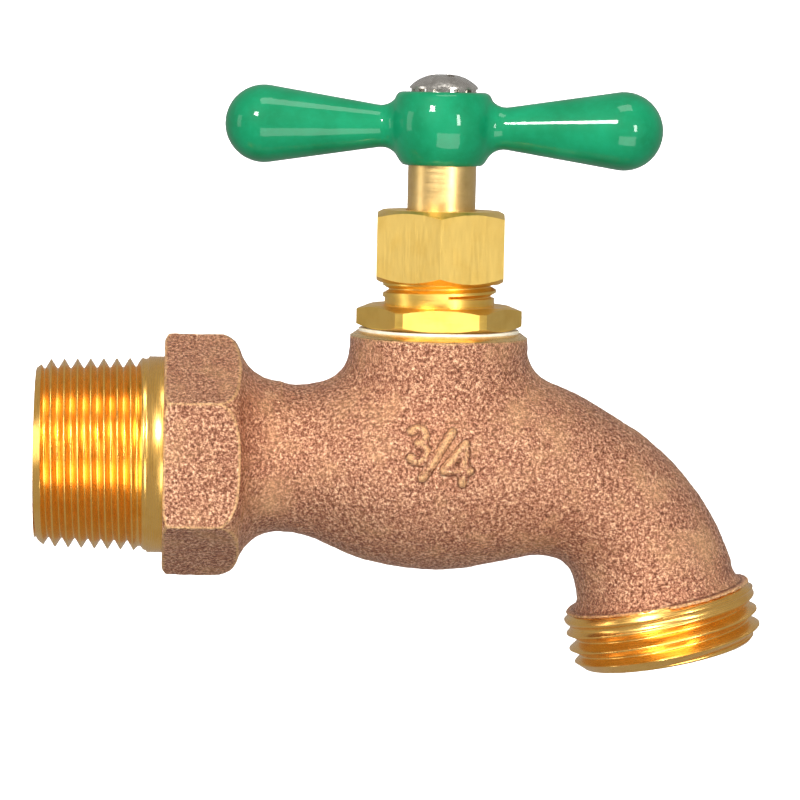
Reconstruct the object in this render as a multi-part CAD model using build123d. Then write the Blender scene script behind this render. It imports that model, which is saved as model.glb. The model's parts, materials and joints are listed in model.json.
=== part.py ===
from build123d import *
import math
import os

# Hose bib: a wall tap with a male pipe inlet, a tee handle and a male hose outlet.
# Millimetres. Origin: centre of the inlet's end face. +X runs along the inlet away
# from the wall pipe, +Z is up along the stem. Every piece is modelled in this frame.

# ---- driving dimensions ----
stem_x = 55.8             # stem axis, from the inlet's end face

# inlet: 3/4-14 taper pipe thread
inlet_pitch = 25.4 / 14
inlet_crest_r = 12.95     # at the end face, growing by the pipe taper
pipe_taper = 1 / 32       # radius gained per unit of length
inlet_thread_end = 15.5
inlet_collar_end = 17.7
inlet_collar_r = 13.65
inlet_thread_depth = 1.3
inlet_tip_r = 11.8        # end chamfer of the thread
inlet_tip_length = 1.6
inlet_bore_r = 8.25
inlet_bore_length = 30.0

# hexagonal wrench boss behind the inlet thread
hex_flats = 29.4
hex_end = 28.2
hex_corner_r = 16.97
hex_chamfer_x = 0.6
hex_chamfer_r = 15.9
hex_round_x = 25.0

# neck between the boss and the globe
neck_x = 33.9
neck_r = 10.5

# outlet: 3/4-11.5 hose thread on a spout that leans outwards
outlet_lean = 78.0        # degrees that the outlet axis is turned down from +X
outlet_x = 87.4           # where the thread starts, on the outlet's axis
outlet_z = -18.8
outlet_pitch = 25.4 / 11.5
outlet_crest_r = 13.5
outlet_length = 8.4
outlet_thread_depth = 1.45
outlet_relief_r = 12.3     # plain groove between the spout and the first crest
outlet_relief_length = 0.9
outlet_lip_r = 11.9
outlet_lip_length = 1.5
flare_length = 3.0        # spout flare between its waist and the thread
flare_r = 12.5
waist_r = 11.1
outlet_bore_r = 8.4
elbow_bore_r = 7.2
elbow_bore_lean = 35.0     # degrees that the elbow bore starts down from +X
elbow_bore_x = 69.0
elbow_bore_z = -0.4
elbow_bend_r = 8.5
outlet_bore_back = 2.6    # the straight bore reaches this far above the thread

# bonnet port of the body
port_top = 17.8
port_r = 12.4
port_edge_z = 17.1         # the machined face is bevelled from here up
port_face_r = 11.4
port_blend_r = 5.0
port_thread_r = 9.55
port_thread_bottom = 8.0
chamber_r = 8.6
chamber_floor = 1.0

# flattened passage that dives under the seat
dive_start_x = 25.0
dive_start_z = 0.6
under_seat_x = 48.0
under_seat_z = -7.2
under_seat_width = 15.0
under_seat_height = 9.6
under_seat_corner = 4.2

# seat, raised from the chamber's floor
seat_z = 2.0
seat_outer_r = 6.6
seat_hole_r = 4.8

# well under the seat, and the slot from the chamber to the elbow bore
well_r = 6.6
well_bottom = -12.0
well_top = -2.8
well_round_r = 4.4
slot_reach = 10.0
slot_width = 12.0
slot_height = 6.4
slot_z = 4.5
slot_round_r = 3.0

# bonnet gasket
gasket_r = 11.2
gasket_thick = 0.35

# bonnet
bonnet_bottom = 9.0
bonnet_thread_r = 9.5
bonnet_hex_bottom = port_top + gasket_thick
bonnet_hex_top = 21.5
bonnet_flats = 20.6
bonnet_hex_round_r = 1.3  # the hexagon's rounded upright edges
bonnet_corner_r = 11.55
bonnet_collar_r = 7.65
bonnet_collar_top = 22.6
bonnet_turn = -2.5        # degrees that the tightened hexagon stops past square
gland_thread_r = 7.9      # 5/8-18 thread that takes the packing nut
gland_thread_pitch = 25.4 / 18
gland_thread_top = 31.4
stem_nut_r = 7.3          # bore in the bonnet that holds the stem's thread
stem_nut_top = 20.8
stem_clear_r = 5.0
packing_box_r = 6.2
packing_box_bottom = 26.5

# packing set, from the bottom up
packing_washer_top = 27.3
packing_top = 31.0
gland_flange_r = 7.4
gland_top = 32.3

# packing nut
nut_flats = 17.6
nut_bottom = 24.6
nut_top = 34.7
nut_turn = 26.0           # degrees; a corner stands almost at the front
nut_bore_r = 8.05
nut_chamfer_drop = 1.0

# stem
stem_r = 4.75
stem_thread_r = 7.0
stem_thread_pitch = 2.54
stem_thread_bottom = 8.2
stem_thread_top = 14.0
stem_neck_r = 5.5
cup_r = 7.0
cup_recess_r = 6.5
cup_rim_z = 3.4
cup_recess_z = 5.05
cup_top = 7.0
shoulder_z = 40.9
square_size = 6.4
square_top = 50.5

# rubber seat washer and the screw that holds it
washer_r = 6.2
washer_hole_r = 2.5
washer_bottom = seat_z + 0.02
washer_top = 5.0
bibb_shank_r = 2.1
bibb_head_r = 3.8
bibb_head_bottom = 0.2
bibb_head_top = washer_bottom - 0.05
bibb_tip = 10.0

# tee handle
arm_z = 46.2
arm_turn = -10.0          # degrees that the arms stand past square when shut
hub_bottom = shoulder_z
hub_top = 51.1
hub_bottom_r = 5.95
hub_belly_r = 7.45
hub_top_r = 6.75
knob_r = 5.45
knob_reach = 25.1         # knob centre to stem axis
arm_neck_r = 2.9
arm_neck_reach = 8.5
arm_blend_r = 2.6

# handle screw and its toothed lock washer
lock_top = 51.5
lock_ring_r = 3.9
lock_tooth_reach = 4.5
lock_teeth = 12
screw_r = 2.05
screw_head_r = 4.75
screw_head_edge = 0.3
screw_head_height = 2.0
screw_slot_depth = 1.1
screw_slot_turn = 20.0
screw_tip = 43.6


def turned(*points):
    """Solid turned about the stem axis from (radius, height) points."""
    outline = make_face(Plane.XZ * Polyline(*points, close=True))
    return Pos(stem_x, 0, 0) * revolve(outline, Axis.Z)


def disc(radius, bottom, top):
    """Plain cylinder on the stem axis."""
    height = top - bottom
    return Pos(stem_x, 0, bottom + height / 2) * Cylinder(radius, height)


def ring(outer_r, inner_r, bottom, top):
    """Plain ring on the stem axis."""
    return disc(outer_r, bottom, top) - disc(inner_r, bottom - 1, top + 1)


def hex_bar(flats, bottom, top, turn):
    """Hexagonal bar on the stem axis."""
    bar = extrude(RegularPolygon(flats / 2, 6, major_radius=False), top - bottom)
    return Pos(stem_x, 0, bottom) * Rot(0, 0, turn) * bar


def thread(radius, pitch, depth, length, flank, root, tip_r, tip_length, taper=0.0, past=0.0):
    """Threaded rod along +Z from its tip at the origin, cut by one helical groove.

    flank is the groove's half angle, root half its floor, and past how many turns the
    groove runs beyond the rod; it always starts one turn before the tip.
    """
    first_r = radius - taper * pitch
    cone = math.degrees(math.atan(taper))
    path = Helix(pitch, length + (1 + past) * pitch, first_r, cone_angle=cone)
    start = path @ 0
    across = Plane(origin=start, x_dir=(start.X, start.Y, 0), z_dir=path % 0)
    knee = 0.05
    clear = 0.5
    mouth = root + (depth + knee) * math.tan(math.radians(flank))
    cutter = Polyline((-depth, -root), (knee, -mouth), (clear, -mouth), (clear, mouth),
                      (knee, mouth), (-depth, root), close=True)
    groove = sweep(across * make_face(cutter), path=path, is_frenet=True)
    shoulder_r = radius + taper * tip_length
    end_r = radius + taper * length
    outline = Polyline((0, 0), (tip_r, 0), (shoulder_r, tip_length), (end_r, length),
                       (0, length), close=True)
    return revolve(make_face(Plane.XZ * outline), Axis.Z) - Pos(0, 0, -pitch) * groove


def section_plane(x, z, lean):
    """Plane across the casting, its normal turned down from +X by lean."""
    turn = math.radians(lean)
    return Plane(origin=(x, 0, z), x_dir=(0, 1, 0), z_dir=(math.cos(turn), 0, -math.sin(turn)))


def section(x, z, radius, lean):
    """Round section of the casting or its waterway."""
    return section_plane(x, z, lean) * Circle(radius)


# ---- valve body: one casting with machined ends ----
outlet_turn = math.radians(outlet_lean)
outlet_way = Vector(math.cos(outlet_turn), 0, -math.sin(outlet_turn))
outlet_start = Vector(outlet_x, 0, outlet_z)

inlet_rod_length = inlet_thread_end + 1.5      # the thread runs out under the collar
inlet_rod = Plane.YZ * thread(inlet_crest_r, inlet_pitch, inlet_thread_depth, inlet_rod_length, 30, 0.07,
                              inlet_tip_r, inlet_tip_length, pipe_taper, -0.6)
collar_length = inlet_collar_end + 1 - inlet_thread_end
collar_bar = Rot(0, 90, 0) * Cylinder(inlet_collar_r, collar_length)
collar = Pos(inlet_thread_end + collar_length / 2, 0, 0) * collar_bar

hexagon = RegularPolygon(hex_flats / 2, 6, major_radius=False)
boss_plane = Plane((inlet_collar_end, 0, 0), x_dir=(0, 0, 1), z_dir=(1, 0, 0))
boss = extrude(boss_plane * hexagon, hex_end - inlet_collar_end)
with BuildSketch() as boss_outline:
    with BuildLine():
        Polyline((inlet_collar_end, 0), (inlet_collar_end, hex_chamfer_r),
                 (inlet_collar_end + hex_chamfer_x, hex_corner_r), (hex_round_x, hex_corner_r))
        TangentArc((hex_round_x, hex_corner_r), (hex_end, hex_flats / 2), tangent=(1, 0))
        Polyline((hex_end, hex_flats / 2), (hex_end, 0), (inlet_collar_end, 0))
    make_face()
boss = boss & revolve(boss_outline.sketch, Axis.X)

with BuildSketch() as neck_outline:
    with BuildLine():
        TangentArc((neck_x, neck_r), (hex_end, hex_flats / 2), tangent=(-1, 0))
        Polyline((hex_end, hex_flats / 2), (hex_end - 1, hex_flats / 2), (hex_end - 1, 0),
                 (neck_x, 0), (neck_x, neck_r))
    make_face()
neck = revolve(neck_outline.sketch, Axis.X)

# the globe and the elbow are smooth skins through round sections (x, z, radius, lean)
waist = outlet_start - outlet_way * flare_length
elbow_root = section(76.0, -4.55, 11.9, 41)
globe = loft([
    section(neck_x, 0, neck_r, 0),
    section(41.6, -0.8, 11.9, 0),
    section(49.2, -0.9, 14.1, 0),
    section(stem_x, -1.0, 14.6, 2),
    section(62.7, -1.4, 14.2, 12),
    section(69.7, -2.6, 13.2, 26),
    elbow_root,
])
elbow = loft([
    elbow_root,
    section(81.3, -7.6, 11.0, 57),
    section(84.8, -11.4, 10.8, 70),
    section(waist.X, waist.Z, waist_r, outlet_lean),
])

# the spout flares out to the thread
waist_plane = Plane(origin=waist, x_dir=(0, 1, 0), z_dir=outlet_way)
with BuildSketch(Plane.XZ) as flare_outline:
    with BuildLine():
        TangentArc((waist_r, 0), (flare_r, flare_length), tangent=(0, 1))
        Polyline((flare_r, flare_length), (0, flare_length), (0, 0), (waist_r, 0))
    make_face()
spout_flare = waist_plane * revolve(flare_outline.sketch, Axis.Z)

port = turned((0, -1), (port_r, -1), (port_r, port_edge_z), (port_face_r, port_top), (0, port_top))
casting = globe + port
seam_edges = [edge for edge in casting.edges() if 8 < edge.bounding_box().max.Z < port_edge_z - 0.5]
seam_edges = [edge for edge in seam_edges if edge.bounding_box().min.Z > 0 and edge.length > port_r * 3]
casting = fillet(seam_edges, port_blend_r)

outlet_end = outlet_start + outlet_way * outlet_length
tip_plane = Plane(origin=outlet_end, x_dir=(0, 1, 0), z_dir=outlet_way * -1)
outlet_rod = thread(outlet_crest_r, outlet_pitch, outlet_thread_depth, outlet_length, 30, 0.09,
                    outlet_lip_r, outlet_lip_length, 0.0, -0.3)
relief = Cylinder(outlet_crest_r + 1, outlet_relief_length + 1)
relief = relief - Cylinder(outlet_relief_r, outlet_relief_length + 2)
outlet_rod = outlet_rod - Pos(0, 0, outlet_length - outlet_relief_length / 2 + 0.5) * relief
outlet_rod = tip_plane * outlet_rod
casting = casting + elbow
casting = casting + spout_flare
casting = casting + outlet_rod
casting = casting + (neck + boss + collar + inlet_rod)

# waterway: straight inlet, flattened passage under the seat, chamber over it, elbow to the outlet
inlet_bar = Rot(0, 90, 0) * Cylinder(inlet_bore_r, inlet_bore_length)
inlet_bore = Pos(inlet_bore_length / 2, 0, 0) * inlet_bar
dive_drop = dive_start_z - under_seat_z
dive_run = under_seat_x - dive_start_x
dive_lean = math.degrees(math.atan2(dive_drop, dive_run))
dive_plane = section_plane(dive_start_x, dive_start_z, dive_lean)
dive_face = dive_plane * RectangleRounded(under_seat_width, under_seat_height, under_seat_corner)
under_seat = extrude(dive_face, math.hypot(dive_drop, dive_run) + 1.0)
level_lap = 1.5
level_plane = section_plane(under_seat_x - level_lap, under_seat_z, 0)
level_face = RectangleRounded(under_seat_width - 0.6, under_seat_height - 0.4, under_seat_corner - 0.2)
level_run = extrude(level_plane * level_face, stem_x - under_seat_x + level_lap)
well = disc(well_r, well_bottom, well_top)
well = fillet(well.edges().filter_by(GeomType.CIRCLE), well_round_r)
seat_hole = disc(seat_hole_r, under_seat_z - 0.2, seat_z + 1)
chamber = disc(chamber_r, chamber_floor, port_thread_bottom + 0.5)
chamber = chamber - disc(seat_outer_r, chamber_floor - 1, seat_z)
port_hole = disc(port_thread_r, port_thread_bottom, port_top + 1)
slot_box = Box(slot_reach, slot_width, slot_height)
slot_way = Pos(stem_x + slot_reach, 0, slot_z) * fillet(slot_box.edges().filter_by(Axis.X), slot_round_r)

# the elbow bore's two straight runs meet on the outlet axis
bore_top = outlet_start - outlet_way * outlet_bore_back
elbow_slope = math.radians(elbow_bore_lean)
gap_x = bore_top.X - elbow_bore_x
gap_z = bore_top.Z - elbow_bore_z
reach = gap_x * math.sin(outlet_turn) + gap_z * math.cos(outlet_turn)
reach = reach / math.sin(outlet_turn - elbow_slope)
bend_x = elbow_bore_x + reach * math.cos(elbow_slope)
bend_z = elbow_bore_z - reach * math.sin(elbow_slope)
elbow_path = FilletPolyline((elbow_bore_x, 0, elbow_bore_z), (bend_x, 0, bend_z),
                            (bore_top.X, 0, bore_top.Z), radius=elbow_bend_r)
elbow_bore = sweep(section(elbow_bore_x, elbow_bore_z, elbow_bore_r, elbow_bore_lean), path=elbow_path)
bore_length = outlet_length + outlet_bore_back
bore_middle = bore_top + outlet_way * (bore_length / 2)
bore_plane = Plane(origin=bore_middle, x_dir=(0, 1, 0), z_dir=outlet_way)
outlet_bore = bore_plane * Cylinder(outlet_bore_r, bore_length)

valve_body = casting - inlet_bore - under_seat - level_run - well - seat_hole
valve_body = valve_body - chamber - port_hole - slot_way
valve_body = valve_body - elbow_bore
valve_body = valve_body - outlet_bore

# ---- bonnet and its gasket ----
bonnet_gasket = ring(gasket_r, bonnet_thread_r + 0.15, port_top, bonnet_hex_bottom)

bonnet_bar = hex_bar(bonnet_flats, bonnet_hex_bottom, bonnet_hex_top, bonnet_turn)
bonnet_bar = fillet(bonnet_bar.edges().filter_by(Axis.Z), bonnet_hex_round_r)
bonnet_round = turned((0, bonnet_hex_bottom), (bonnet_flats / 2 - 0.3, bonnet_hex_bottom),
                      (bonnet_corner_r, bonnet_hex_bottom + 0.6), (bonnet_corner_r, bonnet_hex_top - 0.7),
                      (bonnet_flats / 2 - 0.5, bonnet_hex_top), (0, bonnet_hex_top))
gland_length = gland_thread_top - bonnet_collar_top
gland_rod = Pos(stem_x, 0, gland_thread_top) * Rot(180, 0, 0) * thread(
    gland_thread_r, gland_thread_pitch, 0.8, gland_length, 30, 0.06, 7.2, 0.6)
bonnet = bonnet_bar & bonnet_round
bonnet = bonnet + disc(bonnet_collar_r, bonnet_hex_top, bonnet_collar_top) + gland_rod
bonnet = bonnet + turned((0, bonnet_bottom), (bonnet_thread_r - 0.8, bonnet_bottom),
                         (bonnet_thread_r, bonnet_bottom + 0.8), (bonnet_thread_r, bonnet_hex_bottom),
                         (0, bonnet_hex_bottom))
bonnet = bonnet - turned((0, bonnet_bottom - 1), (stem_nut_r, bonnet_bottom - 1),
                         (stem_nut_r, stem_nut_top),
                         (stem_clear_r, stem_nut_top + 0.9), (stem_clear_r, packing_box_bottom),
                         (packing_box_r, packing_box_bottom + 0.4), (packing_box_r, gland_thread_top + 1),
                         (0, gland_thread_top + 1))

# ---- packing set ----
packing_washer = ring(packing_box_r - 0.1, stem_clear_r, packing_box_bottom + 0.4, packing_washer_top)
packing_ring = ring(packing_box_r - 0.03, stem_r + 0.04, packing_washer_top, packing_top)
packing_gland = ring(packing_box_r - 0.1, stem_clear_r, packing_top, gland_thread_top)
packing_gland = packing_gland + ring(gland_flange_r, stem_clear_r, gland_thread_top, gland_top)

nut_corner_r = nut_flats / 2 / math.cos(math.pi / 6)
nut_bar = hex_bar(nut_flats, nut_bottom, nut_top, nut_turn)
nut_face_r = nut_flats / 2 - 0.7
nut_round = turned((0, nut_bottom), (nut_face_r + 0.3, nut_bottom),
                   (nut_corner_r, nut_bottom + nut_chamfer_drop), (nut_corner_r, nut_top - nut_chamfer_drop),
                   (nut_face_r, nut_top), (0, nut_top))
packing_nut = (nut_bar & nut_round) - turned(
    (0, nut_bottom - 1), (nut_bore_r + 1, nut_bottom - 1), (nut_bore_r, nut_bottom + 0.5),
    (nut_bore_r, gland_top), (stem_clear_r, gland_top), (stem_clear_r, nut_top + 1), (0, nut_top + 1))

# ---- stem ----
stem_thread_length = stem_thread_top - stem_thread_bottom
stem_rod = Pos(stem_x, 0, stem_thread_top) * Rot(180, 0, 0) * thread(
    stem_thread_r, stem_thread_pitch, 1.27, stem_thread_length, 14.5, 0.47, 6.4, 0.6)
stem = turned((0, cup_rim_z), (cup_r, cup_rim_z), (cup_r, cup_top), (stem_neck_r, cup_top + 0.4),
              (stem_neck_r, stem_thread_bottom), (0, stem_thread_bottom))
stem = stem + stem_rod + disc(stem_r, stem_thread_top, shoulder_z)
square = Box(square_size, square_size, square_top - shoulder_z)
stem = stem + Pos(stem_x, 0, (shoulder_z + square_top) / 2) * Rot(0, 0, arm_turn) * square
stem = stem - disc(cup_recess_r, cup_rim_z - 1, cup_recess_z)
stem = stem - disc(bibb_shank_r + 0.05, cup_recess_z - 1, bibb_tip + 0.5)
stem = stem - disc(screw_r + 0.05, screw_tip - 0.5, square_top + 1)

# ---- seat washer and its screw ----
seat_washer = ring(washer_r, washer_hole_r, washer_bottom, washer_top)
seat_washer_screw = turned((0, bibb_head_bottom), (bibb_head_r - 1.0, bibb_head_bottom),
                           (bibb_head_r, bibb_head_bottom + 0.8), (bibb_head_r, bibb_head_top),
                           (bibb_shank_r, bibb_head_top), (bibb_shank_r, bibb_tip - 0.5),
                           (bibb_shank_r - 0.5, bibb_tip), (0, bibb_tip))
seat_washer_screw = seat_washer_screw - Pos(stem_x, 0, bibb_head_bottom) * Box(2 * bibb_head_r + 1, 1.0, 1.6)

# ---- tee handle ----
with BuildSketch(Plane.XZ) as hub_outline:
    with BuildLine():
        ThreePointArc((hub_bottom_r, hub_bottom + 0.5), (hub_belly_r, arm_z - 0.4),
                      (hub_top_r, hub_top - 1.0))
        ThreePointArc((hub_top_r, hub_top - 1.0), (hub_top_r - 0.35, hub_top - 0.3),
                      (hub_top_r - 1.1, hub_top))
        Polyline((hub_top_r - 1.1, hub_top), (0, hub_top), (0, hub_bottom),
                 (hub_bottom_r - 0.5, hub_bottom), (hub_bottom_r, hub_bottom + 0.5))
    make_face()
hub = revolve(hub_outline.sketch, Axis.Z)

# each arm flares in a straight line from its neck until it is tangent to the round knob
knob_gap = knob_reach - arm_neck_reach
knob_distance = math.hypot(knob_gap, arm_neck_r)
flare = math.asin(knob_r / knob_distance) - math.atan(arm_neck_r / knob_gap)
touch_x = knob_reach - knob_r * math.sin(flare)
touch_r = knob_r * math.cos(flare)
root_r = arm_neck_r - arm_neck_reach * math.tan(flare)
with BuildSketch() as arm_outline:
    with BuildLine():
        Polyline((0, 0), (0, root_r), (touch_x, touch_r))
        ThreePointArc((touch_x, touch_r), (knob_reach + knob_r * math.cos(0.7), knob_r * math.sin(0.7)),
                      (knob_reach + knob_r, 0))
        Line((knob_reach + knob_r, 0), (0, 0))
    make_face()
arm = Pos(0, 0, arm_z) * revolve(arm_outline.sketch, Axis.X)
tee_handle = hub + arm + Rot(0, 0, 180) * arm
arm_roots = []
for edge in tee_handle.edges():
    box = edge.bounding_box()
    beside_hub = abs(abs(edge.center().X) - hub_belly_r) < 1.2 and abs(edge.center().Z - arm_z) < 1.5
    if beside_hub and 2 < box.size.Z < 7 and box.size.Y > 2:
        arm_roots.append(edge)
tee_handle = fillet(arm_roots, arm_blend_r)
broach_size = square_size + 0.06
broach = Box(broach_size, broach_size, hub_top - hub_bottom + 2)
tee_handle = tee_handle - Pos(0, 0, (hub_bottom + hub_top) / 2) * broach
tee_handle = Pos(stem_x, 0, 0) * Rot(0, 0, arm_turn) * tee_handle

# ---- handle screw and lock washer ----
lock_washer = ring(lock_ring_r, screw_r + 0.15, hub_top, lock_top)
tooth_length = lock_tooth_reach - lock_ring_r + 0.4
tooth = Pos(lock_ring_r - 0.4 + tooth_length / 2, 0, 0) * Box(tooth_length, 1.1, lock_top - hub_top)
for index in range(lock_teeth):
    turned_tooth = Rot(0, 0, index * 360 / lock_teeth) * tooth
    lock_washer = lock_washer + Pos(stem_x, 0, (hub_top + lock_top) / 2) * turned_tooth

with BuildSketch(Plane.XZ) as screw_outline:
    with BuildLine():
        Polyline((0, lock_top + screw_head_height), (0, screw_tip), (screw_r - 0.5, screw_tip),
                 (screw_r, screw_tip + 0.6), (screw_r, lock_top), (screw_head_r, lock_top),
                 (screw_head_r, lock_top + screw_head_edge))
        ThreePointArc((screw_head_r, lock_top + screw_head_edge), (screw_head_r * 0.72, lock_top + 1.35),
                      (0, lock_top + screw_head_height))
    make_face()
handle_screw = Pos(stem_x, 0, 0) * revolve(screw_outline.sketch, Axis.Z)
slot_bottom = lock_top + screw_head_height - screw_slot_depth
for turn in (0, 90):
    slot = Rot(0, 0, turn + screw_slot_turn) * Box(5.2, 0.95, 2)
    handle_screw = handle_screw - Pos(stem_x, 0, slot_bottom + 1) * slot

pieces = {
    "valve_body": valve_body,
    "bonnet_gasket": bonnet_gasket,
    "bonnet": bonnet,
    "packing_washer": packing_washer,
    "packing_ring": packing_ring,
    "packing_gland": packing_gland,
    "packing_nut": packing_nut,
    "stem": stem,
    "seat_washer": seat_washer,
    "seat_washer_screw": seat_washer_screw,
    "tee_handle": tee_handle,
    "lock_washer": lock_washer,
    "handle_screw": handle_screw,
}
for name, piece in pieces.items():
    export_step(piece, "parts/" + name + ".step")
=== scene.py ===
import json
import math

import bmesh
import bpy
import numpy as np
from mathutils import Matrix, Vector, noise
from mathutils.bvhtree import BVHTree


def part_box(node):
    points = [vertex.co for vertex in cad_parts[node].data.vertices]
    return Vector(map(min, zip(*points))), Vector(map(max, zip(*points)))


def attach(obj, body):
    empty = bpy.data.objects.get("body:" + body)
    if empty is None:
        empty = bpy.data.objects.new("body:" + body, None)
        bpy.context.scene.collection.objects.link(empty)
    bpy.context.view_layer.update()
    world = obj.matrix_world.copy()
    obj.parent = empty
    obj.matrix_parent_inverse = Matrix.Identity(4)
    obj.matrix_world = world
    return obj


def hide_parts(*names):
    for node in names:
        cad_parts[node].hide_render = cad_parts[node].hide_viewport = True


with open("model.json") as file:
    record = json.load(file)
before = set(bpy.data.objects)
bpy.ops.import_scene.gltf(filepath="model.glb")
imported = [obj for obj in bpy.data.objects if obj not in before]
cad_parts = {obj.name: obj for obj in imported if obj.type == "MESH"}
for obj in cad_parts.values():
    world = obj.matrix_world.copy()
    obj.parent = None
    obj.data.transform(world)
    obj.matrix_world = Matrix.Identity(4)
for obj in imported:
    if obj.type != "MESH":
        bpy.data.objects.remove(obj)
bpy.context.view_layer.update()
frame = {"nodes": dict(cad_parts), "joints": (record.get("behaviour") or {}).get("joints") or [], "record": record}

MM = 0.001
scene = bpy.context.scene
nodes = frame["nodes"]
mounts = {m["name"]: m for m in frame["record"]["mounts"]}
joints = {j["name"]: j for j in frame["joints"]}

# ---------------------------------------------------------------- positions taken from the part
stem_x = joints["handle_turn"]["pos_m"][0]
inlet_length = mounts["inlet_thread"]["dims"]["length_mm"] * MM
outlet_way = Vector(mounts["outlet_thread"]["axis"]).normalized()
outlet_tip = Vector(mounts["outlet_thread"]["pos_m"])
outlet_length = mounts["outlet_thread"]["dims"]["length_mm"] * MM
outlet_start = outlet_tip - outlet_way * outlet_length
body_low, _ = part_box("valve_body")
hex_x = 17.7 * MM           # where the turned inlet meets the cast hexagon
rim_z = 17.1 * MM           # above this, the bonnet port is machined
port_left_x = 40 * MM       # left of this, nothing belongs to the port


# ---------------------------------------------------------------- mesh helpers
def link(name, mesh):
    obj = bpy.data.objects.new(name, mesh)
    scene.collection.objects.link(obj)
    return obj


def pull_back(obj, tree, share, reach):
    """Moves each point part of the way back to the CAD surface, if that is near."""
    co = coords(obj.data)
    for i, point in enumerate(co.tolist()):
        near, _, _, gap = tree.find_nearest(Vector(point), reach)
        if near is not None:
            co[i] = [a + (b - a) * share for a, b in zip(point, near)]
    set_coords(obj.data, co)
    return obj


def node_mesh(node):
    """A welded copy of a CAD node's mesh."""
    bm = bmesh.new()
    bm.from_mesh(nodes[node].data)
    bmesh.ops.remove_doubles(bm, verts=bm.verts, dist=1e-6)
    bmesh.ops.dissolve_degenerate(bm, edges=bm.edges, dist=1e-7)
    return bm


def slice_off(bm, point, normal, keep_faces=None, cap=True):
    """Removes what lies on the normal's side of a plane and closes the cut."""
    faces = [f for f in bm.faces if keep_faces is None or keep_faces(f.calc_center_median())]
    edges = {e for f in faces for e in f.edges}
    verts = {v for f in faces for v in f.verts}
    made = bmesh.ops.bisect_plane(bm, geom=list(faces) + list(edges) + list(verts), dist=1e-8,
                                  plane_co=point, plane_no=normal, clear_outer=True)
    rim = [g for g in made["geom_cut"] if isinstance(g, bmesh.types.BMEdge)]
    if cap:
        bmesh.ops.triangle_fill(bm, use_beauty=True, use_dissolve=False, edges=rim,
                                normal=normal)
    return bm


def finish_mesh(bm, name, smooth_angle=35):
    bmesh.ops.recalc_face_normals(bm, faces=bm.faces)
    mesh = bpy.data.meshes.new(name)
    bm.to_mesh(mesh)
    bm.free()
    obj = link(name, mesh)
    shade(obj, smooth_angle)
    return obj


def shade(obj, angle=35):
    """Smooth shading with creases where faces turn by more than the angle."""
    mesh = obj.data
    mesh.shade_smooth()
    mesh.set_sharp_from_angle(angle=math.radians(angle))


def apply_modifiers(obj):
    dg = bpy.context.evaluated_depsgraph_get()
    made = bpy.data.meshes.new_from_object(obj.evaluated_get(dg))
    old = obj.data
    obj.modifiers.clear()
    obj.data = made
    bpy.data.meshes.remove(old)
    return obj


def remesh(obj, voxel):
    mod = obj.modifiers.new("remesh", "REMESH")
    mod.mode = "VOXEL"
    mod.voxel_size = voxel
    mod.adaptivity = 0
    return apply_modifiers(obj)


def soften(obj, factor, turns):
    mod = obj.modifiers.new("soft", "SMOOTH")
    mod.factor = factor
    mod.iterations = turns
    return apply_modifiers(obj)


def coords(mesh):
    co = np.empty(len(mesh.vertices) * 3, np.float32)
    mesh.vertices.foreach_get("co", co)
    return co.reshape(-1, 3)


def normals(mesh):
    no = np.empty(len(mesh.vertices) * 3, np.float32)
    mesh.vertices.foreach_get("normal", no)
    return no.reshape(-1, 3)


def set_coords(mesh, co):
    mesh.vertices.foreach_set("co", co.astype(np.float32).ravel())
    mesh.update()


def noise_field(points, size, seed):
    """Smooth noise, one value per point, with lumps of about the given size."""
    shift = Vector((seed * 7.13, seed * 3.71, seed * 5.37))
    return np.array([noise.noise(Vector(p) / size + shift) for p in points.tolist()])


def add_attribute(mesh, name, values):
    attribute = mesh.attributes.new(name, "FLOAT", "POINT")
    attribute.data.foreach_set("value", np.asarray(values, np.float32))


def edge_curvature(mesh):
    """How sharply each point stands out, from the mean offset of its neighbours."""
    co, no = coords(mesh), normals(mesh)
    ends = np.empty(len(mesh.edges) * 2, np.int32)
    mesh.edges.foreach_get("vertices", ends)
    ends = ends.reshape(-1, 2)
    total = np.zeros_like(co)
    count = np.zeros(len(co))
    for a, b in ((0, 1), (1, 0)):
        np.add.at(total, ends[:, a], co[ends[:, b]])
        np.add.at(count, ends[:, a], 1)
    mean = total / np.maximum(count, 1)[:, None]
    return ((co - mean) * no).sum(1)


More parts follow.
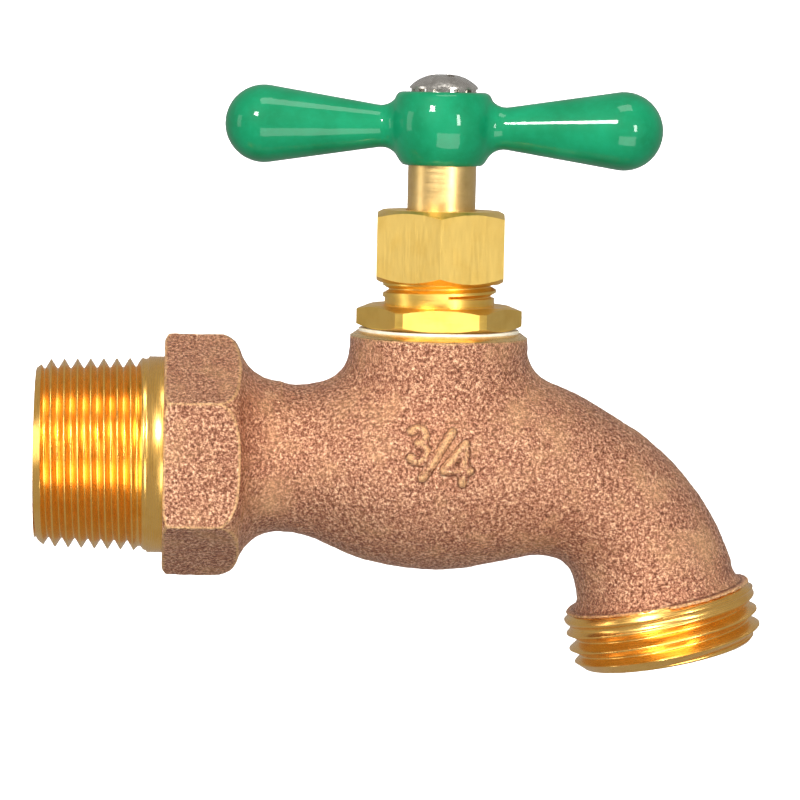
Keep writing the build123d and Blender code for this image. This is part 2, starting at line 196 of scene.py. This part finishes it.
# ---------------------------------------------------------------- materials
class Shader:
    """Small helper that builds one procedural Principled material."""

    def __init__(self, name, metallic, roughness, coat=0.0, coat_roughness=0.1, ior=1.5):
        self.mat = bpy.data.materials.new(name)
        self.mat.use_nodes = True
        self.tree = self.mat.node_tree
        self.tree.nodes.clear()
        self.out = self.new("ShaderNodeOutputMaterial")
        self.bsdf = self.new("ShaderNodeBsdfPrincipled")
        self.bsdf.inputs["Metallic"].default_value = metallic
        self.bsdf.inputs["Roughness"].default_value = roughness
        self.bsdf.inputs["Coat Weight"].default_value = coat
        self.bsdf.inputs["Coat Roughness"].default_value = coat_roughness
        self.bsdf.inputs["IOR"].default_value = ior
        self.join(self.bsdf.outputs["BSDF"], self.out.inputs["Surface"])
        self.place = self.new("ShaderNodeTexCoord").outputs["Object"]

    def new(self, kind):
        return self.tree.nodes.new(kind)

    def join(self, a, b):
        self.tree.links.new(a, b)

    def stretched(self, scale, turn=(0, 0, 0)):
        """Object coordinates, turned and then stretched, for directional marks."""
        turned = self.new("ShaderNodeVectorRotate")
        turned.rotation_type = "EULER_XYZ"
        turned.inputs["Rotation"].default_value = turn
        self.join(self.place, turned.inputs["Vector"])
        mapped = self.new("ShaderNodeMapping")
        mapped.inputs["Scale"].default_value = scale
        self.join(turned.outputs["Vector"], mapped.inputs["Vector"])
        return mapped.outputs["Vector"]

    def noise(self, size, detail=4.0, rough=0.55, vector=None):
        node = self.new("ShaderNodeTexNoise")
        node.inputs["Scale"].default_value = 1.0 / size
        node.inputs["Detail"].default_value = detail
        node.inputs["Roughness"].default_value = rough
        self.join(vector or self.place, node.inputs["Vector"])
        return node.outputs["Fac"]

    def ramp(self, value, *stops):
        node = self.new("ShaderNodeValToRGB")
        elements = node.color_ramp.elements
        while len(elements) < len(stops):
            elements.new(0.5)
        for element, (position, colour) in zip(elements, stops):
            element.position = position
            if not isinstance(colour, tuple):
                colour = (colour, colour, colour)
            element.color = (*colour, 1.0)
        self.join(value, node.inputs["Fac"])
        return node.outputs["Color"]

    def math(self, how, a, b):
        node = self.new("ShaderNodeMath")
        node.operation = how
        for socket, value in zip(node.inputs, (a, b)):
            if isinstance(value, (int, float)):
                socket.default_value = value
            else:
                self.join(value, socket)
        return node.outputs[0]

    def mix(self, fac, a, b):
        node = self.new("ShaderNodeMix")
        node.data_type = "RGBA"
        if isinstance(fac, (int, float)):
            node.inputs["Factor"].default_value = fac
        else:
            self.join(fac, node.inputs["Factor"])
        for socket, value in ((node.inputs[6], a), (node.inputs[7], b)):
            if isinstance(value, tuple):
                socket.default_value = (*value, 1.0)
            else:
                self.join(value, socket)
        return node.outputs[2]

    def attribute(self, name):
        node = self.new("ShaderNodeAttribute")
        node.attribute_name = name
        return node.outputs["Fac"]

    def bump(self, height, distance, strength=1.0, before=None):
        node = self.new("ShaderNodeBump")
        node.inputs["Strength"].default_value = strength
        node.inputs["Distance"].default_value = distance
        self.join(height, node.inputs["Height"])
        if before is not None:
            self.join(before, node.inputs["Normal"])
        return node.outputs["Normal"]

    def set(self, socket, value):
        self.join(value, self.bsdf.inputs[socket])


def cast_bronze():
    s = Shader("cast_bronze", 0.9, 0.5)
    patches = s.noise(7.0 * MM, 3, 0.6)
    grain = s.noise(0.40 * MM, 4, 0.65)
    grit = s.noise(0.17 * MM, 3, 0.7)
    both = s.math("ADD", s.math("MULTIPLY", grain, 0.6), s.math("MULTIPLY", grit, 0.4))
    tone = s.ramp(both, (0.40, (0.130, 0.042, 0.022)), (0.47, (0.340, 0.130, 0.072)),
                  (0.52, (0.580, 0.270, 0.155)), (0.56, (0.800, 0.450, 0.270)), (0.62, (1.000, 0.760, 0.480)))
    tone = s.mix(s.ramp(patches, (0.50, 0.0), (0.72, 0.45)), tone, (0.78, 0.45, 0.22))
    # rubbed-edge wear turns raised edges gold; on the raised numerals this gold is also a painted highlight
    worn_gold_and_highlight = s.ramp(s.attribute("wear"), (0.25, 0.0), (0.80, 0.70))
    worn_gold_and_highlight = s.math("MULTIPLY", worn_gold_and_highlight, s.ramp(grain, (0.36, 0.35), (0.55, 1.0)))
    tone = s.mix(worn_gold_and_highlight, tone, (0.88, 0.56, 0.26))
    # painted shade: concave spots and the outlines of the raised numerals darken towards near-black bronze
    painted_shade = s.ramp(s.attribute("recess_shade"), (0.15, 0.0), (0.9, 0.8))
    s.set("Base Color", s.mix(painted_shade, tone, (0.13, 0.045, 0.022)))
    s.set("Metallic", s.ramp(both, (0.42, 0.70), (0.60, 1.0)))
    s.set("Roughness", s.ramp(both, (0.42, 0.56), (0.60, 0.28)))
    low = s.bump(grain, 0.42 * MM, 1.0)
    s.set("Normal", s.bump(grit, 0.14 * MM, 1.0, low))
    return s.mat


def turned_brass(name, axis, colour, dark, rough, mark=0.012, turn=(0, 0, 0)):
    """Machined brass with fine marks round one axis."""
    s = Shader(name, 1.0, 0.25)
    scale = tuple(1.0 if i == axis else 0.03 for i in range(3))
    along = s.stretched(scale, turn)
    fine = s.noise(0.09 * MM, 3, 0.6, along)
    stain = s.noise(3.0 * MM, 4, 0.6)
    base = s.mix(s.ramp(stain, (0.45, 0.0), (0.75, 0.8)), colour, dark)
    base = s.mix(s.ramp(fine, (0.50, 0.0), (0.80, 0.30)), base, tuple(min(1.0, c * 1.12) for c in colour))
    s.set("Base Color", base)
    s.set("Roughness", s.ramp(fine, (0.35, rough[0]), (0.68, rough[1])))
    s.set("Normal", s.bump(fine, mark * MM, 0.6))
    return s.mat


def enamel():
    s = Shader("green_enamel", 0.0, 0.5, coat=0.75, coat_roughness=0.05, ior=1.2)
    s.bsdf.inputs["Coat IOR"].default_value = 1.33
    sag = s.noise(5.0 * MM, 2, 0.5)
    fleck = s.noise(0.9 * MM, 3, 0.6)
    tone = s.ramp(sag, (0.30, (0.000, 0.150, 0.056)), (0.70, (0.001, 0.205, 0.084)))
    s.set("Base Color", s.mix(s.ramp(fleck, (0.45, 0.0), (0.75, 0.12)), tone, (0.01, 0.33, 0.17)))
    s.set("Roughness", s.ramp(fleck, (0.3, 0.45), (0.7, 0.60)))
    s.set("Normal", s.bump(s.noise(2.4 * MM, 2, 0.45), 0.12 * MM, 0.4))
    return s.mat


def nickel():
    s = Shader("nickel_plate", 1.0, 0.2)
    marks = s.noise(0.35 * MM, 4, 0.65)
    tone = s.ramp(s.noise(1.6 * MM, 3, 0.6), (0.35, (0.50, 0.46, 0.41)), (0.65, (0.68, 0.64, 0.58)))
    s.set("Base Color", tone)
    s.set("Roughness", s.ramp(marks, (0.35, 0.14), (0.7, 0.34)))
    s.set("Normal", s.bump(marks, 0.02 * MM, 0.5))
    return s.mat


def fibre():
    s = Shader("pale_fibre", 0.0, 0.45, coat=0.2, coat_roughness=0.3)
    s.bsdf.inputs["Subsurface Weight"].default_value = 0.25
    s.bsdf.inputs["Subsurface Radius"].default_value = (1.2 * MM, 0.9 * MM, 0.6 * MM)
    s.bsdf.inputs["Subsurface Scale"].default_value = 1.0
    tone = s.ramp(s.noise(1.4 * MM, 4, 0.6), (0.35, (0.62, 0.58, 0.46)), (0.65, (0.74, 0.70, 0.58)))
    s.set("Base Color", tone)
    s.set("Normal", s.bump(s.noise(0.4 * MM, 3, 0.5), 0.02 * MM, 0.5))
    return s.mat


def dark_rubber(name, tone):
    s = Shader(name, 0.0, 0.6)
    colour = s.ramp(s.noise(0.8 * MM, 3, 0.6), (0.3, tone), (0.7, tuple(c * 1.6 for c in tone)))
    s.set("Base Color", colour)
    s.set("Normal", s.bump(s.noise(0.3 * MM, 3, 0.6), 0.02 * MM, 0.6))
    return s.mat


# the outlet's thread is turned about its own leaning axis
outlet_turn = Vector((0, 0, 1)).rotation_difference(outlet_way).inverted().to_euler()

bronze = cast_bronze()
inlet_brass = turned_brass("inlet_brass", 0, (0.94, 0.54, 0.14), (0.86, 0.44, 0.08), (0.20, 0.34), 0.006)
outlet_brass = turned_brass("outlet_brass", 2, (0.94, 0.54, 0.14), (0.84, 0.42, 0.08), (0.20, 0.34), 0.006,
                            turn=tuple(outlet_turn))
stem_brass = turned_brass("stem_brass", 2, (0.80, 0.55, 0.22), (0.66, 0.42, 0.14), (0.30, 0.46), 0.016)
nut_brass = turned_brass("nut_brass", 0, (0.90, 0.62, 0.17), (0.84, 0.54, 0.12), (0.34, 0.46), 0.004)
bonnet_brass = turned_brass("bonnet_brass", 2, (0.90, 0.58, 0.13), (0.80, 0.47, 0.08), (0.28, 0.42), 0.006)
rim_brass = turned_brass("rim_brass", 2, (0.92, 0.62, 0.25), (0.74, 0.42, 0.16), (0.20, 0.36))
green = enamel()
plate = nickel()
washer_fibre = fibre()
packing_black = dark_rubber("packing_black", (0.03, 0.03, 0.032))
seat_black = dark_rubber("seat_black", (0.015, 0.015, 0.016))


def wear(obj, material, body, slot, *replaced):
    """Gives a piece its material and body, and hides the CAD nodes that it stands for; slot is not used."""
    obj.data.materials.clear()
    obj.data.materials.append(material)
    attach(obj, body)
    if replaced:
        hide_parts(*replaced)
    return obj


def repaint(node, material):
    for slot in nodes[node].material_slots:
        slot.material = material


# ---------------------------------------------------------------- cast body
def right_of_port(point):
    return point.x > port_left_x


def arc(centre_x, centre_z, radius, start, end):
    """Points along an arc, between two angles in degrees."""
    steps = 12
    angles = [math.radians(start + (end - start) * i / steps) for i in range(steps + 1)]
    return [(centre_x + radius * math.cos(a), centre_z + radius * math.sin(a)) for a in angles]


def numeral_strokes():
    """Centre lines of the raised nominal size, 3/4: (x from the stem, z) in millimetres."""
    three_x, waist_z, upper_r, lower_r = -3.5, 3.4, 1.0, 1.2
    three = (arc(three_x, waist_z + upper_r, upper_r, 150, -90)
             + arc(three_x, waist_z - lower_r, lower_r, 90, -150))
    slash = [(1.2, 5.0), (-2.8, -1.2)]
    bar_z, four_left, four_right = -0.2, 0.0, 3.6
    four = [(2.6, bar_z - 1.6), (3.0, bar_z + 3.6), (four_left, bar_z), (four_right, bar_z)]
    return [three, slash, four]


def dense(points, step):
    """A stroke's points with more between them, about a step apart."""
    out = []
    for (ax, az), (bx, bz) in zip(points, points[1:]):
        count = max(1, int(math.hypot(bx - ax, bz - az) / step))
        out.extend((ax + (bx - ax) * i / count, az + (bz - az) * i / count) for i in range(count))
    out.append(points[-1])
    return out


def raise_mark(casting, skin):
    """Lays small balls along the mark's strokes, where they meet the casting's front."""
    stroke_r, lift, step = 0.52 * MM, 0.20 * MM, 0.22
    for stroke in numeral_strokes():
        for x, z in dense(stroke, step):
            start = Vector((stem_x + x * MM, -0.05, z * MM))
            hit, hit_normal, _, _ = skin.ray_cast(start, Vector((0, 1, 0)))
            place = Matrix.Translation(hit + hit_normal * lift)
            bmesh.ops.create_icosphere(casting, subdivisions=2, radius=stroke_r, matrix=place)


def from_spout(co):
    """Each point's distance along the outlet's axis, and its arm square to it."""
    start, way = np.array(outlet_start), np.array(outlet_way)
    along = (co - start) @ way
    return along, co - start - along[:, None] * way


def roughen(mesh):
    """Cast lumps and sand, fading out where the casting meets a machined face."""
    co, no = coords(mesh), normals(mesh)
    fade = 1.0 * MM
    along, _ = from_spout(co)
    edge_gap = np.minimum(np.abs(co[:, 0] - hex_x), np.abs(along - spout_reach))
    rim_gap = np.minimum(edge_gap, np.abs(co[:, 2] - rim_z))
    edge_gap = np.where(co[:, 0] > port_left_x, rim_gap, edge_gap)
    calm = np.clip(edge_gap / fade, 0, 1)
    lumps = noise_field(co, 6.0 * MM, 1) * 0.09 + noise_field(co, 2.2 * MM, 2) * 0.055
    sand = noise_field(co, 0.9 * MM, 3) * 0.075
    set_coords(mesh, co + no * ((lumps + sand) * MM * calm)[:, None])


def draw_in_spout(mesh, co):
    """Tapers the casting's last stretch, so that it ends inside the thread's relief."""
    stretch, inset = 3 * MM, 0.45 * MM
    along, arm = from_spout(co)
    distance = np.linalg.norm(arm, axis=1)
    spout = (distance > 10 * MM) & (distance < 14 * MM) & (along > -stretch) & (along < 1 * MM)
    draw_in = np.where(spout, np.clip(1 + along / stretch, 0, 1) * inset, 0)
    set_coords(mesh, coords(mesh) - arm / np.maximum(distance, 1e-9)[:, None] * draw_in[:, None])


def map_wear_highlight_and_shade(mesh, co, stand_out):
    """Maps of the worn bright edges, which on the raised numerals also stand for painted highlights, and of
    painted shade in the recesses, for the bronze.
    """
    full_wear, full_recess_shade, numeral_wear_and_highlight_share = 0.03 * MM, 0.035 * MM, 0.80
    mark_x, mark_z, mark_reach = stem_x - 1.5 * MM, 2 * MM, 6 * MM
    in_front = co[:, 1] < -8 * MM
    beside = (np.abs(co[:, 0] - mark_x) < mark_reach) & (np.abs(co[:, 2] - mark_z) < mark_reach)
    # on the raised numerals the edge gold is partly real wear and partly a painted highlight on their tops
    share = np.where(in_front & beside, numeral_wear_and_highlight_share, 1.0)
    add_attribute(mesh, "wear", np.clip(stand_out / full_wear, 0, 1) * share)
    # painted shade: this map darkens concave spots, where shade falls
    add_attribute(mesh, "recess_shade", np.clip(-stand_out / full_recess_shade, 0, 1))


spout_reach = 0.45 * MM     # how far the casting runs past the thread's start
casting = node_mesh("valve_body")
skin_tree = BVHTree.FromBMesh(casting)
slice_off(casting, Vector((hex_x, 0, 0)), Vector((-1, 0, 0)))
slice_off(casting, outlet_start + outlet_way * spout_reach, outlet_way)
slice_off(casting, Vector((0, 0, rim_z)), Vector((0, 0, 1)), right_of_port)
raise_mark(casting, skin_tree)
body = finish_mesh(casting, "cast_body", 60)
remesh(body, 0.31 * MM)
soften(body, 0.5, 3)
pull_back(body, skin_tree, 0.8, 0.22 * MM)

smooth_co = coords(body.data)
smooth_stand_out = edge_curvature(body.data)
roughen(body.data)
draw_in_spout(body.data, smooth_co)
map_wear_highlight_and_shade(body.data, smooth_co, smooth_stand_out)
shade(body, 80)
wear(body, bronze, "fixed", "cast_bronze", "valve_body")


# ---------------------------------------------------------------- machined ends
def threaded_end(name, cut_point, cut_normal, tip, inward, pitch, depth, envelope, taper, last, material):
    """Machined end: the CAD's bore and end face, with a finely divided thread round them.

    envelope holds the (distance from the tip, radius) pairs of the turned blank, taper is
    the blank's radius per length, and the groove fades out over one turn before last.
    """
    end = node_mesh("valve_body")
    slice_off(end, cut_point, cut_normal, cap=False)
    inward = inward.normalized()
    tip_r = envelope[0][1] + 0.02 * MM
    skin_gap, face_gap = 0.15 * MM, 0.01 * MM
    outer = []
    for face in end.faces:
        arm = face.calc_center_median() - tip
        if (arm - inward * arm.dot(inward)).length > tip_r - skin_gap and arm.dot(inward) > face_gap:
            outer.append(face)
    bmesh.ops.delete(end, geom=outer, context="FACES")

    turns, per_pitch = 240, 28
    root_share, flank_share = 0.93, 0.84
    side = inward.orthogonal().normalized()
    up = inward.cross(side)
    distances, radii = zip(*envelope)
    nominal_at, nominal_r = envelope[1]

    def point(distance, radius, column):
        angle = 2 * math.pi * column / turns
        return tip + inward * distance + (side * math.cos(angle) + up * math.sin(angle)) * radius

    def sheet(rows):
        """Joins rows of points into faces."""
        made = [[end.verts.new(p) for p in row] for row in rows]
        for low_row, high_row in zip(made, made[1:]):
            for a, b, c, d in zip(low_row, low_row[1:], high_row[1:], high_row):
                end.faces.new((a, b, c, d))

    thread_rows = []
    for row in range(-per_pitch, int(last / pitch * per_pitch) + 2):
        phase = (row / per_pitch) % 1.0
        wave = min(1.0, max(0.0, (root_share - abs(2 * phase - 1)) / flank_share))
        line = []
        for column in range(turns + 1):
            distance = min(last, max(0.0, (row / per_pitch + column / turns) * pitch))
            groove = depth * wave * min(1.0, (last - distance) / pitch)
            blank = float(np.interp(distance, distances, radii))
            radius = min(blank, nominal_r + taper * (distance - nominal_at) - groove)
            line.append(point(distance, radius, column))
        thread_rows.append(line)
    sheet(thread_rows)
    plain = [(last, nominal_r + taper * (last - nominal_at))]
    plain += [pair for pair in envelope if pair[0] > last]
    sheet([[point(distance, radius, column) for column in range(turns + 1)]
           for distance, radius in plain])
    bmesh.ops.remove_doubles(end, verts=end.verts, dist=2e-6)
    bmesh.ops.dissolve_degenerate(end, edges=end.edges, dist=2e-6)
    obj = finish_mesh(end, name, 38)
    return wear(obj, material, "fixed", "turned_brass")


pipe_pitch, pipe_taper = 25.4 / 14 * MM, 1 / 32
hose_pitch, hose_thread_end = 25.4 / 11.5 * MM, 7.2 * MM
collar_r, relief_r = 13.65 * MM, 12.3 * MM
inlet_envelope = [(0, 11.8 * MM), (1.6 * MM, 13.0 * MM), (15.49 * MM, 13.43 * MM),
                  (15.6 * MM, collar_r), (17.8 * MM, collar_r)]
threaded_end("inlet_thread_skin", Vector((hex_x, 0, 0)), Vector((1, 0, 0)), Vector((0, 0, 0)),
             Vector((1, 0, 0)), pipe_pitch, 1.25 * MM, inlet_envelope, pipe_taper, inlet_length,
             inlet_brass)
outlet_envelope = [(0, 11.9 * MM), (1.5 * MM, 13.5 * MM), (hose_thread_end, 13.5 * MM),
                   (7.9 * MM, relief_r), (8.3 * MM, 12.2 * MM)]
threaded_end("outlet_thread_skin", outlet_start + outlet_way * 0.2 * MM, -outlet_way, outlet_tip,
             -outlet_way, hose_pitch, 1.4 * MM, outlet_envelope, 0.0, hose_thread_end,
             outlet_brass)

rim = node_mesh("valve_body")
slice_off(rim, Vector((0, 0, rim_z)), Vector((0, 0, -1)), cap=False)
slice_off(rim, Vector((port_left_x, 0, 0)), Vector((-1, 0, 0)), cap=False)
wear(finish_mesh(rim, "port_rim"), rim_brass, "fixed", "turned_brass")

# ---------------------------------------------------------------- enamelled handle, every edge softened
handle_mesh = node_mesh("tee_handle")
handle_tree = BVHTree.FromBMesh(handle_mesh)
handle = finish_mesh(handle_mesh, "enamelled_tee", 60)
remesh(handle, 0.30 * MM)
soften(handle, 0.5, 5)
pull_back(handle, handle_tree, 0.85, 0.5 * MM)
soften(handle, 0.5, 1)
shade(handle, 80)
wear(handle, green, "spindle", "green_enamel", "tee_handle")

# ---------------------------------------------------------------- pieces whose CAD shape is right
finishes = {
    "bonnet": bonnet_brass,
    "packing_nut": nut_brass,
    "stem": stem_brass,
    "packing_gland": stem_brass,
    "packing_washer": stem_brass,
    "seat_washer_screw": stem_brass,
    "handle_screw": plate,
    "lock_washer": plate,
    "bonnet_gasket": washer_fibre,
    "packing_ring": packing_black,
    "seat_washer": seat_black,
}
for node, material in finishes.items():
    repaint(node, material)

# ---------------------------------------------------------------- floor, lights, camera
def backdrop():
    """Pale floor that curves up into a wall."""
    front, back, side = -0.9, 0.75, 1.6
    floor_z, radius, top = body_low.z - 110 * MM, 0.35, 1.4
    profile = [(front, floor_z)]
    steps = 12
    for i in range(steps + 1):
        a = math.radians(-90 + 90 * i / steps)
        profile.append((back - radius + radius * math.cos(a), floor_z + radius + radius * math.sin(a)))
    profile.append((back, top))
    bm = bmesh.new()
    rows = [[bm.verts.new((x, y, z)) for x in (-side, side)] for y, z in profile]
    for a, b in zip(rows, rows[1:]):
        bm.faces.new((a[0], a[1], b[1], b[0]))
    mesh = bpy.data.meshes.new("backdrop")
    bm.to_mesh(mesh)
    bm.free()
    mesh.shade_smooth()
    obj = link("backdrop", mesh)
    s = Shader("backdrop", 0.0, 0.9)
    tone = s.ramp(s.noise(0.3, 2, 0.5), (0.3, (0.86, 0.86, 0.86)), (0.7, (0.88, 0.88, 0.88)))
    s.set("Base Color", tone)
    mesh.materials.append(s.mat)
    obj.visible_diffuse = False
    obj.visible_glossy = False
    return obj


def softbox(name, place, target, width, height, power):
    data = bpy.data.lights.new(name, "AREA")
    data.shape = "RECTANGLE"
    data.size, data.size_y = width, height
    data.energy = power
    obj = bpy.data.objects.new(name, data)
    obj.location = place
    obj.rotation_mode = "QUATERNION"
    obj.rotation_quaternion = (Vector(target) - Vector(place)).to_track_quat("-Z", "Y")
    scene.collection.objects.link(obj)


backdrop()
middle = (0.05, 0, 0.01)
softbox("key", (-0.24, -0.52, 0.36), middle, 0.12, 0.12, 4.4)
softbox("fill", (0.34, -0.52, 0.14), middle, 0.08, 0.18, 1.8)
softbox("top", (0.08, -0.16, 0.56), middle, 0.30, 0.20, 1.2)
softbox("left", (-0.60, -0.10, 0.10), middle, 0.16, 0.30, 0.5)
softbox("low", (0.10, -0.30, -0.11), middle, 0.30, 0.16, 0.80)
softbox("wall", (0.05, 0.34, 0.40), (0.05, 0.75, 0.05), 0.9, 0.3, 6.0)
world = bpy.data.worlds.new("studio")
world.use_nodes = True
world.node_tree.nodes["Background"].inputs["Color"].default_value = (1, 1, 1, 1)
world.node_tree.nodes["Background"].inputs["Strength"].default_value = 0.40
scene.world = world
scene.view_settings.view_transform = "Standard"

camera_data = bpy.data.cameras.new("camera")
camera_data.lens = 165.6
camera_data.sensor_width = 36
camera_data.clip_start, camera_data.clip_end = 0.02, 10
camera = bpy.data.objects.new("camera", camera_data)
scene.collection.objects.link(camera)
camera.location = (0.0186, -0.511, 0.0535)
aim = Vector((0.0506, 0, 0.0081)) - camera.location
camera.rotation_mode = "QUATERNION"
roll = Matrix.Rotation(math.radians(1.2), 3, "Z")
camera.rotation_quaternion = (aim.to_track_quat("-Z", "Y").to_matrix() @ roll).to_quaternion()
scene.camera = camera
